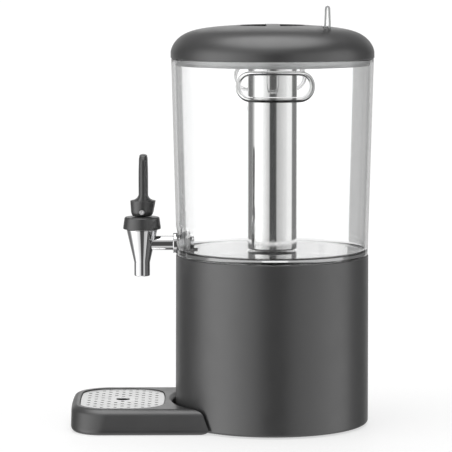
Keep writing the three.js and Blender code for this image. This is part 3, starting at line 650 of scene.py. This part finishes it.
def shank_ring(node, r, y0, y1, edge, material):
    bore = SHANK["r"] + GAP
    outline = rounded([(bore, y0, 0.2), (r, y0, edge), (r, y1, edge), (bore, y1, 0.2)], 6)
    return finished(lathe_y(node, outline), node, "container", material)


def tap_nut(material):
    y0, y1 = NUT["start"], NUT["end"]
    r, thick = NUT["flange_r"], NUT["flange_t"]
    outline = [(0, y0), (r - 0.35, y0), (r, y0 + 0.3), (r, y0 + thick - 0.3), (r - 0.35, y0 + thick)]
    flange = lathe_y("flange", outline + [(0, y0 + thick)])
    turns = np.radians(np.arange(0, 360, 60))
    corners = [(NUT["hex_r"] * math.sin(a), SHANK["z"] + NUT["hex_r"] * math.cos(a)) for a in turns]
    hexagon = loft("hexagon", [[(x, y, z) for x, z in corners] for y in (y0 + 0.5, y1)])
    crown = lathe_y("crown", [(0, y0), (13, y0), (13, y1 - 1.3), (10.9, y1), (0, y1)])
    combine(hexagon, [crown], "INTERSECT")
    combine(flange, [hexagon], "UNION")
    bore = NUT["bore"]
    hole = [(0, -95), (bore, -95), (bore, y1 - 0.6), (bore + 0.6, -80), (0, -80)]
    combine(flange, [lathe_y("bore", hole)])
    return finished(flange, "tap_nut", "container", material)


def tap_bonnet(material):
    b = BONNET
    neck = BONNET_BORE["seat"]
    bore = BONNET_BORE["stem"]
    outline = [(neck, b["bottom"]), (b["r_low"] - 0.9, b["bottom"])]
    outline += arc(b["r_low"] - 0.8, b["bottom"] + 0.8, 0.8, -60, 0, 4)
    outline += [(b["r_low"] - 0.05, b["bottom"] + 1.8)]
    outline += arc(b["r_high"] - 1.9, b["top"] - 2.3, 1.9, 5, 75, 8)
    outline += [(12.5, b["top"]), (11.8, b["top"] - 0.25), (bore + 1.2, b["top"] - 0.25)]
    outline += [(bore, b["top"] - 1.2), (bore, b["ceiling"]), (neck, b["ceiling"])]
    bonnet = lathe("bonnet", outline, MEDIUM, (0, TAP_Y))
    return finished(bonnet, "tap_bonnet", "container", material)


def lever_ring(z, a, b, power, count=72):
    """Oval ring of the lever at height z: half sizes a (x) and b (y), squarer for a larger power."""
    ring = []
    share = (z - HANDLE["bottom"]) / (HANDLE["fillet_top"] - HANDLE["bottom"])
    middle = TAP_Y + LEVER_OFFSET * min(1, share)
    for i in range(count):
        t = 2 * math.pi * i / count
        c, s = math.cos(t), math.sin(t)
        x = a * math.copysign(abs(c) ** (2 / power), c)
        y = b * math.copysign(abs(s) ** (2 / power), s)
        ring.append((x, middle + y, z))
    return ring


def smooth_rings(keys, steps):
    """Lever rings with monotone curves through key rows (z, a, b, power)."""
    keys = np.array(keys, float)
    z = keys[:, 0]
    slopes = np.gradient(keys, z, axis=0)
    rows = []
    for i in range(len(keys) - 1):
        span = z[i + 1] - z[i]
        for k in range(steps):
            t = k / steps
            low, high = keys[i], keys[i + 1]
            m0, m1 = slopes[i] * span, slopes[i + 1] * span
            curve = (2 * t**3 - 3 * t**2 + 1) * low + (t**3 - 2 * t**2 + t) * m0
            curve += (3 * t**2 - 2 * t**3) * high + (t**3 - t**2) * m1
            rows.append(np.clip(curve, np.minimum(low, high), np.maximum(low, high)))
    return [lever_ring(*row) for row in rows] + [lever_ring(*keys[-1])]


def tap_handle(material):
    h = HANDLE
    rim, rim_r, bar = h["rim"], h["rim_r"], h["bar"]
    foot = [(h["bottom"], 8.6, 8.6, 2), (h["bottom"] + 0.25, 9.3, 9.3, 2), (h["bottom"] + 0.8, 10, 10, 2)]
    foot += [(h["bottom"] + 3, 11.2, 11.2, 2), (h["bottom"] + 8, 12.1, 12.1, 2)]
    foot.append((rim - 0.35, rim_r, rim_r, 2))
    rings = smooth_rings(foot, 5)
    rings.append(lever_ring(rim, rim_r - 0.2, rim_r - 0.3, 2))
    fall = rim_r - 0.3 - bar
    for degrees in np.linspace(84, 0, 15):
        a = math.radians(degrees)
        share = 1 - degrees / 90
        z = h["fillet_top"] - (h["fillet_top"] - rim) * math.sin(a)
        half_y = rim_r - 0.3 - fall * math.cos(a)
        rings.append(lever_ring(z, rim_r - 0.2 + 0.5 * share, half_y, 2 + 0.8 * share))
    paddle = [(h["fillet_top"] + 0.5, 13.45, bar, 2.8), (254, 14.3, bar, 2.9), (270, 15, bar - 0.3, 3)]
    paddle += [(277, 12.8, bar - 0.8, 3), (h["top"] - 0.7, 11, bar - 1.4, 2.8)]
    paddle.append((h["top"], 8.5, bar - 2.6, 2.5))
    rings += smooth_rings(paddle, 6)
    lever = loft("lever", rings)
    slot = block("slot", -4.4, 4.4, TAP_Y - 6.6, TAP_Y + 5.1, h["bottom"] - 1, PIN["z"] + 5.1)
    bore = PIN["r"] + GAP
    hole = lathe_x("hole", [(0, -20), (bore, -20), (bore, 20), (0, 20)], TAP_Y, PIN["z"])
    combine(lever, [slot, hole])
    return finished(lever, "tap_handle", "tap_handle", material, 30)


def tap_spring(material):
    """Closing spring under the bonnet; the whole coil rides with the stem."""
    c = SPRING
    rings = []
    for t in np.linspace(0, 1, 24 * c["turns"] + 1):
        a = 2 * math.pi * c["turns"] * t
        z = c["bottom"] + (c["top"] - c["bottom"]) * t
        section = arc(c["r"], z, c["wire"], 0, 315, 7)
        rings.append([(r * math.cos(a), TAP_Y + r * math.sin(a), height) for r, height in section])
    coil = finished(loft("coil", rings), "tap_spring", "tap_stem", material)
    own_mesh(coil)
    return coil


def tap_pin(material):
    r, half = PIN["r"], PIN["half"]
    outline = []
    for side in (-1, 1):
        end = [(0, 0.35), (0.8, 0.3), (1.15, 0.0), (r - 0.45, 0.0), (r - 0.12, 0.15), (r, 0.5)]
        end = [(radius, side * (half - depth)) for radius, depth in end]
        outline += end if side < 0 else end[::-1]
    return finished(lathe_x("pin", outline, TAP_Y, PIN["z"]), "tap_pin", "tap_stem", material)


# ---------- lid, ice tube, cap and label holder ----------


def lid(material):
    cup_r, floor_r, floor, cup_wall = CUP["r"], CUP["floor_r"], CUP["floor"], CUP["wall"]
    groove = SEAL["groove_r"] - GAP
    shelf, ceiling = SEAL["shelf"] + SEAL_ROOM, SEAL["top"] + SEAL_ROOM
    dome = lid_line(cup_r + 0.5, LID["r"], 44)[::-1]
    outline = [(LID["r"] - 0.5, LID["bottom"]), (LID["r"], LID["bottom"] + 0.6)]
    outline += dome + [(cup_r, lid_height(cup_r) - 0.5)]
    outline += [(cup_r, floor + 1)] + arc(cup_r - 1, floor + 1, 1, 0, -90, 4)[1:]
    outline += [(floor_r, floor), (floor_r, floor - cup_wall), (cup_r + cup_wall, floor - cup_wall)]
    outline += lid_line(cup_r + cup_wall, SEAL["r_in"] + 0.5, 24, LID["wall"])
    outline += [(SEAL["r_in"] + 0.5, shelf), (groove, shelf), (groove, ceiling)]
    outline += [(LID["r"] - SKIRT_WALL, ceiling), (LID["r"] - SKIRT_WALL, LID["bottom"])]
    shell = lathe("lid", outline)
    slots = []
    half = HOLDER["sheet"] / 2 + 0.3
    reach = TAB["half"] + 0.4
    for x in (-TAB["x"], TAB["x"]):
        for side in (-1, 1):
            y = HOLDER["y"] + side * (HOLDER["foot"] - HOLDER["sheet"] / 2)
            slots.append(block("slot", x - reach, x + reach, y - half, y + half, TAB["depth"] - 5, 420))
    combine(shell, slots)
    return finished(shell, "lid", "lid", material)


def lid_seal(material):
    s = SEAL
    corners = [(s["r_in"], s["bottom"], 0.9), (s["r_out"] - 0.7, s["bottom"], 0.4)]
    corners += [(s["r_out"], s["bottom"] + 3, 1.0), (s["r_out"], s["top"], 0.5)]
    corners += [(s["groove_r"], s["top"], 0.5), (s["groove_r"], s["shelf"], 0.4)]
    corners.append((s["r_in"], s["shelf"], 0.5))
    return finished(lathe("seal", rounded(corners)), "lid_seal", "lid", material)


def ice_tube(material):
    t = TUBE
    r, wall, bottom = t["r"], t["wall"], t["bottom"]
    flange_top = t["flange_z"] + t["flange_t"]
    outline = [(0, bottom)] + arc(r - 1.8, bottom + 1.8, 1.8, -90, 0, 8)
    outline += [(r, t["flange_z"] - 1)] + arc(r + 1, t["flange_z"] - 1, 1, 180, 90, 4)[1:]
    outline += arc(t["flange_r"] - 0.6, flange_top - 0.6, 0.6, -90, 90, 8)
    outline += arc(r - wall + 1, flange_top - 1, 1, 90, 180, 5)
    outline += arc(r - 2.8, bottom + wall + 1.8, 1.8, 0, -90, 8) + [(0, bottom + wall)]
    return finished(lathe("tube", outline), "ice_tube", "ice_tube", material)


def ice_cap(material):
    c = CAP
    plug = c["plug_r"] - 2.2
    outline = [(0, c["bottom"]), (plug, c["bottom"]), (plug, c["plug_z"] + 0.4), (plug + 0.4, c["plug_z"])]
    outline += [(c["plug_r"] - 0.4, c["plug_z"]), (c["plug_r"], c["plug_z"] + 0.4)]
    outline.append((c["plug_r"], c["bottom"]))
    outline += [(c["r"] - 0.4, c["bottom"]), (c["r"], c["bottom"] + 0.4)]
    outline += arc(c["r"] - 0.9, lid_height(c["r"]) - 0.9, 0.9, 0, 88, 5)
    outline += [(r, lid_height(r) + 0.3 * (1 - r / c["r"])) for r in (30, 24, 18, 12, 6, 0)]
    disc = lathe("cap", outline)
    inside, half, floor = c["r"] - c["wall"], c["bar"], c["floor"]
    room = lathe("room", [(0, floor), (inside - 2, floor), (inside, floor + 2), (inside, 430), (0, 430)])
    section = [(-half - 1.2, floor - 2), (-half - 1.2, floor), (-half, floor + 1.4), (-half, 440)]
    section += [(-y, z) for y, z in section[::-1]]
    bar = loft("bar", [[(x, y, z) for y, z in section] for x in (-50, 50)])
    combine(room, [bar])
    combine(disc, [room])
    soften(disc, 0.5)
    return finished(disc, "ice_cap", "ice_cap", material)


def label_holder(material):
    h = HOLDER
    head = h["top"] - h["head"]
    inner = h["head"] - h["sheet"]
    low = TAB["depth"]
    profile = [(-h["foot"], low), (-h["foot"] + h["sheet"], low)]
    profile += arc(0, head, inner, 180, 0, 8) + [(h["foot"] - h["sheet"], low), (h["foot"], low)]
    profile += arc(0, head, h["head"], 0, 180, 16)
    sheet = loft("sheet", [[(x, h["y"] + y, z) for y, z in profile] for x in (-h["half"], h["half"])])
    dome_line = [(0, lid_height(0))] + lid_line(1, LID["r"], 40)
    dome = lathe("dome", [(r, z + GAP) for r, z in dome_line] + [(0, 378)])
    reach = TAB["half"]
    tabs = [block("tab", x - reach, x + reach, 40, 70, low - 1, 420) for x in (-TAB["x"], TAB["x"])]
    combine(dome, tabs)
    combine(sheet, [dome])
    soften(sheet, 0.45)
    return finished(sheet, "label_holder", "label_holder", material)


# ---------- drip tray and grid ----------


def tray_ring(z, front, half, corner, back):
    """Outline of a tray layer: round front corners and a hollow back that follows the stand."""
    side_end = -math.sqrt(back * back - half * half)
    spread = math.degrees(math.atan2(side_end, half))
    nose = arc(-half + corner, front + corner, corner, 180, 270, 24)
    nose += [(-half + corner + 2 * (half - corner) * k / 8, front) for k in range(1, 8)]
    nose += arc(half - corner, front + corner, corner, -90, 0, 24)
    points = arc(0, 0, back, spread, -180 - spread, 72)
    points += [(-half, side_end + (front + corner - side_end) * k / 6) for k in range(1, 6)]
    points += bowed(nose, half, -TRAY["bow"])
    points += [(half, front + corner + (side_end - front - corner) * k / 6) for k in range(1, 6)]
    return [(x, y, z) for x, y in points]


def tray_layer(z, inset):
    up = z / TRAY["height"]
    mix = {key: TRAY_LOW[key] + (TRAY_HIGH[key] - TRAY_LOW[key]) * up for key in TRAY_LOW}
    front, back = mix["front"] + inset, mix["back"] + inset
    return tray_ring(z, front, mix["half"] - inset, mix["corner"] - inset, back)


def grid_ring(z, grow):
    r = GRID["corner"] + grow
    x, front, back = GRID["x"] + grow, GRID["front"] - grow, GRID["back"] + grow
    side = x - r
    inner = [side * k / 4 for k in range(-3, 4)]
    near = arc(-side, front + r, r, 180, 270, 20) + [(px, front) for px in inner]
    near += arc(side, front + r, r, -90, 0, 20)
    far = arc(side, back - r, r, 0, 90, 20) + [(-px, back) for px in inner]
    far += arc(-side, back - r, r, 90, 180, 20)
    outline = bowed(near, x, -GRID_BOW["front"]) + bowed(far, x, GRID_BOW["back"])
    return [(px, py, z) for px, py in outline]


def drip_tray(material):
    height, edge, floor = TRAY["height"], TRAY["edge"], TRAY["floor"]
    layers = [tray_layer(edge + s, edge - c) for c, s in arc(0, 0, edge, -90, 0, 10)]
    layers += [tray_layer(z, 0) for z in (height * 0.4, height * 0.6)]
    layers += [tray_layer(height - edge + s, edge - c) for c, s in arc(0, 0, edge, 0, 90, 10)]
    tray = loft("tray", layers)
    rest = GRID["bottom"] - GAP
    top = [(rest, 0.5), (height - 0.5, 0.5), (height + 0.6, 1.4)]
    recess = loft("recess", [grid_ring(z, grow) for z, grow in top])
    rings = []
    for a in np.radians(np.linspace(0, 90, 6)):
        rings.append(grid_ring(floor + 3 * (1 - math.cos(a)), -GRID["land"] - 2 - 3 * (1 - math.sin(a))))
    well = loft("well", rings + [grid_ring(GRID["bottom"] + 1, -GRID["land"])])
    combine(tray, [recess, well])
    return finished(tray, "drip_tray", "drip_tray", material)


def is_free(x, y):
    """Whether a small hole at (x, y) keeps its distance from the grid's edge and its centre hole."""
    r = GRID["corner"]
    dx = max(abs(x) - (GRID["x"] - r), 0)
    middle = (GRID["front"] + GRID["back"]) / 2
    dy = max(abs(y - middle) - ((GRID["back"] - GRID["front"]) / 2 - r), 0)
    inside = math.hypot(dx, dy) < r - HOLES["margin"]
    return inside and math.hypot(x, y - HOLES["centre_y"]) > HOLES["centre_r"] + HOLES["margin"]


def punch(x, y, r, lip, segments):
    """Cutter of a punched hole, wider at the top where the sheet is drawn in around it."""
    low, high = GRID["bottom"], GRID["bottom"] + GRID["t"]
    outline = [(0, low - 1), (r + 0.7, low - 1), (r + 0.7, high - 0.6), (r, high - 0.4)]
    outline += [(r, high - 0.6 * lip), (r + 0.25 * lip, high - 0.25 * lip)]
    outline += [(r + lip, high + 0.02), (r + lip, high + 1), (0, high + 1)]
    return lathe("punch", outline, segments, (x, y))


def small_holes():
    """Centres of the small holes, in staggered columns around the centre hole."""
    pitch = HOLES["pitch"]
    half_columns = (HOLES["columns"] - 1) // 2
    centres = []
    for column in range(-half_columns, half_columns + 1):
        y = HOLES["centre_y"] + column * pitch
        for row in range(-half_columns, half_columns + 1):
            x = row * 2 * pitch + pitch * (column % 2)
            if is_free(x, y):
                centres.append((x, y))
    return centres


def paint_shade_in_holes(grid, centres):
    """Gives the steep polygons around the small holes the grid's second material, a dark steel that is
    painted shade inside the holes.
    """
    rim = GRID_RIM * MM
    reach = (HOLES["r"] + 1) * MM
    places = [place((x, y, 0)) for x, y in centres]
    xs = [vertex.co.x for vertex in grid.data.vertices]
    ys = [vertex.co.y for vertex in grid.data.vertices]
    for polygon in grid.data.polygons:
        x, y, _ = polygon.center
        inside = min(xs) + rim < x < max(xs) - rim and min(ys) + rim < y < max(ys) - rim
        near_hole = min(math.hypot(x - spot[0], y - spot[1]) for spot in places) < reach
        if abs(polygon.normal.z) < 0.5 and inside and near_hole:
            polygon.material_index = 1


def drip_grid(material, hole_shade_material):
    low, high = GRID["bottom"], GRID["bottom"] + GRID["t"]
    edges = [(low, -0.2), (low + 0.2, 0), (high - 0.3, 0), (high, -0.3)]
    plate = loft("grid", [grid_ring(z, grow) for z, grow in edges])
    centres = small_holes()
    cutters = [punch(0, HOLES["centre_y"], HOLES["centre_r"] - LIPS["centre"], LIPS["centre"], 64)]
    cutters += [punch(x, y, HOLES["r"] + 0.1, LIPS["small"], 20) for x, y in centres]
    combine(plate, cutters)
    grid = finished(plate, "drip_grid", "drip_grid", material, 40)
    # the second material is a dark steel: painted shade on the walls of the small holes
    grid.data.materials.append(hole_shade_material)
    paint_shade_in_holes(grid, centres)
    return grid


# ---------- camera, light and floor ----------

CAMERA = {"at": (2.7153, -0.03136, 0.4959), "towards": (-0.99424, 0.01292, -0.10642), "lens": 210.4}
# Studio brightness around the object, at the horizon: (degrees from +x towards +y, share of the gain).
STUDIO = [
    (-180, 0.39), (-148, 0.39), (-146, 0.12), (-112, 0.12), (-101, 0.3), (-90, 0.8), (-78, 1.0), (-58, 1.0),
    (-42, 0.7), (-16, 0.42), (-13, 0.05), (16, 0.05), (20, 0.36), (45, 0.46), (62, 0.58), (76, 0.72),
    (98, 0.68), (103, 0.4), (106, 0.12), (148, 0.12), (150, 0.39), (180, 0.39),
]
STUDIO_GAIN = 2.0
PANEL = {"middle": 179.4, "half": 5.0, "light": 1.6}  # bright sheet behind the object, in degrees
UPPER = {"left": 0.8, "right": 0.3, "back": 0.33}  # brightness half way up, on the camera's side and behind
OVERHEAD = 2.9  # soft box straight above
BELOW = 0.85  # pale table top, seen in pieces that face down
SEEN_THROUGH = 0.78  # the least brightness behind clear pieces, so that they stay clear from all sides
FLOOR_GLOW = 0.59  # lifts the floor to the white of the background
WHITE = 1.05  # background as the camera sees it
# Where the studio changes, as ranges of the view direction's x, y or z.
LEFT_TO_RIGHT = (-0.1, 0.3)
BACK_TO_FRONT = (-0.4, 0.45)
BEHIND = (-0.8, -0.4)
RISE_BEHIND = (0.24, 0.42)
RISE_IN_FRONT = (0.35, 0.62)
OVERHEAD_EDGE = (0.77, 0.9)
BELOW_EDGE = (-0.72, -0.55)
FLOOR_R = 1.2


def add_camera():
    data = bpy.data.cameras.new("camera")
    data.lens = CAMERA["lens"]
    data.sensor_width = 36
    camera = bpy.data.objects.new("camera", data)
    camera.location = CAMERA["at"]
    camera.rotation_euler = Vector(CAMERA["towards"]).to_track_quat("-Z", "Y").to_euler()
    bpy.context.scene.collection.objects.link(camera)
    bpy.context.scene.camera = camera


def math_node(tree, operation, *values):
    """Output of a Math node whose inputs are numbers or other nodes' outputs."""
    node = new_node(tree, "Math")
    node.operation = operation
    for socket, value in zip(node.inputs, values):
        if isinstance(value, (int, float)):
            socket.default_value = value
        else:
            tree.links.new(value, socket)
    return node.outputs[0]


def ramp_up(tree, value, limits):
    """0 below the lower limit, 1 above the upper one and smooth between."""
    node = new_node(tree, "MapRange", From_Min=limits[0], From_Max=limits[1])
    node.interpolation_type = "SMOOTHSTEP"
    tree.links.new(value, node.inputs["Value"])
    return node.outputs["Result"]


def mixed(tree, factor, low, high):
    """Value between low and high, each a number or an output."""
    rest = math_node(tree, "SUBTRACT", 1.0, factor)
    low_part = math_node(tree, "MULTIPLY", rest, low)
    return math_node(tree, "ADD", low_part, math_node(tree, "MULTIPLY", factor, high))


def studio_ring(tree, turn):
    """Brightness at the horizon for the azimuth `turn` in radians, with the bright sheet."""
    ring = new_node(tree, "ValToRGB")
    stops = ring.color_ramp.elements
    stops[0].position, stops[1].position = 0, 1
    for degrees, _ in STUDIO[1:-1]:
        stops.new((degrees + 180) / 360)
    for stop, (_, value) in zip(stops, STUDIO):
        stop.color = (value, value, value, 1)
    share = math_node(tree, "MULTIPLY_ADD", turn, 0.5 / math.pi, 0.5)
    tree.links.new(share, ring.inputs[0])
    around = math_node(tree, "MULTIPLY", ring.outputs["Color"], STUDIO_GAIN)
    wrapped = math_node(tree, "WRAP", turn, 2 * math.pi, 0.0)
    away = math_node(tree, "ABSOLUTE", math_node(tree, "SUBTRACT", wrapped, math.radians(PANEL["middle"])))
    on_panel = math_node(tree, "LESS_THAN", away, math.radians(PANEL["half"]))
    return mixed(tree, on_panel, around, PANEL["light"])


def studio_brightness(tree, x, y, z):
    """Brightness in the direction (x, y, z): the ring, the part above it, the box overhead, the table."""
    ring = studio_ring(tree, math_node(tree, "ARCTAN2", y, x))
    front = mixed(tree, ramp_up(tree, y, LEFT_TO_RIGHT), UPPER["left"], UPPER["right"])
    upper = mixed(tree, ramp_up(tree, x, BACK_TO_FRONT), UPPER["back"], front)
    rise_behind = ramp_up(tree, z, RISE_BEHIND)
    rise_in_front = ramp_up(tree, z, RISE_IN_FRONT)
    rise = mixed(tree, ramp_up(tree, x, BEHIND), rise_behind, rise_in_front)
    sides = mixed(tree, rise, ring, upper)
    above = mixed(tree, ramp_up(tree, z, OVERHEAD_EDGE), sides, OVERHEAD)
    return mixed(tree, ramp_up(tree, z, BELOW_EDGE), BELOW, above)


def studio_world():
    """White to the camera; a studio of soft boxes and greys for light, reflections and clear pieces."""
    world = bpy.data.worlds.new("studio")
    bpy.context.scene.world = world
    world.use_nodes = True
    tree = world.node_tree
    tree.nodes.clear()
    split = new_node(tree, "SeparateXYZ")
    tree.links.new(new_node(tree, "TexCoord").outputs["Generated"], split.inputs[0])
    brightness = studio_brightness(tree, *split.outputs)
    paths = new_node(tree, "LightPath").outputs
    through = math_node(tree, "MAXIMUM", brightness, SEEN_THROUGH)
    not_mirrored = math_node(tree, "LESS_THAN", paths["Glossy Depth"], 0.5)
    straight = math_node(tree, "MULTIPLY", paths["Is Transmission Ray"], not_mirrored)
    light = new_node(tree, "Background")
    tree.links.new(mixed(tree, straight, brightness, through), light.inputs["Strength"])
    white = new_node(tree, "Background", Color=(1, 1, 1, 1), Strength=WHITE)
    pick = new_node(tree, "MixShader")
    tree.links.new(paths["Is Camera Ray"], pick.inputs[0])
    tree.links.new(light.outputs[0], pick.inputs[1])
    tree.links.new(white.outputs[0], pick.inputs[2])
    out = new_node(tree, "OutputWorld")
    tree.links.new(pick.outputs[0], out.inputs["Surface"])


def add_floor():
    """Round pale floor; mirror-like pieces show the studio in its place."""
    mesh = bpy.data.meshes.new("floor")
    mesh.from_pydata([(x, y, 0) for x, y in arc(0, 0, FLOOR_R, 0, 357.5, 143)], [], [tuple(range(144))])
    floor = bpy.data.objects.new("floor", mesh)
    bpy.context.scene.collection.objects.link(floor)
    glow = {"Emission_Color": (1, 1, 1, 1), "Emission_Strength": FLOOR_GLOW}
    look = Look("pale_floor", 0.6, Specular_IOR_Level=0.2, **glow)
    tone = look.blend(look.remap(look.noise(3, 4), 0, 1), (0.41, 0.41, 0.41), (0.43, 0.43, 0.43))
    look.feed("Base Color", tone)
    mesh.materials.append(look.material)
    floor.visible_glossy = False


def build():
    add_camera()
    studio_world()
    add_floor()
    bpy.context.scene.view_settings.view_transform = "Standard"

    plastic = black_plastic()
    clear = clear_plastic("clear_plastic", 2)
    sheet = clear_plastic("clear_sheet", 17)
    tube_steel = polished_steel()
    plate_steel = brushed_steel("brushed_steel", (1, 0.02, 1), 0.88, 0.34)
    small_steel = brushed_steel("bright_steel", (0.05, 1, 1), 0.72, 0.22)
    plating = chrome()
    rubber = black_rubber()
    milky = silicone()

    stand_shell(plastic)
    feet(rubber)
    base_screws(small_steel)
    container(clear)
    tap_body(plating)
    shank_ring("tap_collar", 10.75, -102.6, -97.5, 1.2, plating)
    shank_ring("tap_outer_gasket", 10.2, -97.2, PAD["face"] - GAP, 0.4, milky)
    shank_ring("tap_inner_gasket", 11.8, PAD["inner"] + GAP, -89.9, 0.5, milky)
    tap_nut(small_steel)
    tap_bonnet(plastic)
    tap_handle(plastic)
    tap_spring(small_steel)
    tap_pin(brushed_steel("matte_steel", (1, 1, 1), 0.95, 0.75))
    lid(plastic)
    lid_seal(milky)
    ice_tube(tube_steel)
    ice_cap(plastic)
    label_holder(sheet)
    drip_tray(plastic)
    # the grid's second material, a dark steel with base 0.3, is painted shade inside the punched holes
    drip_grid(plate_steel, brushed_steel("painted_hole_shade", (1, 1, 1), 0.3, 0.5))

    kept = {"stand_base_plate": plastic, "tap_stem": small_steel, "tap_seat_cup": rubber, "tube_seal": milky}
    for node, material in kept.items():
        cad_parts[node].material_slots[0].material = material


build()
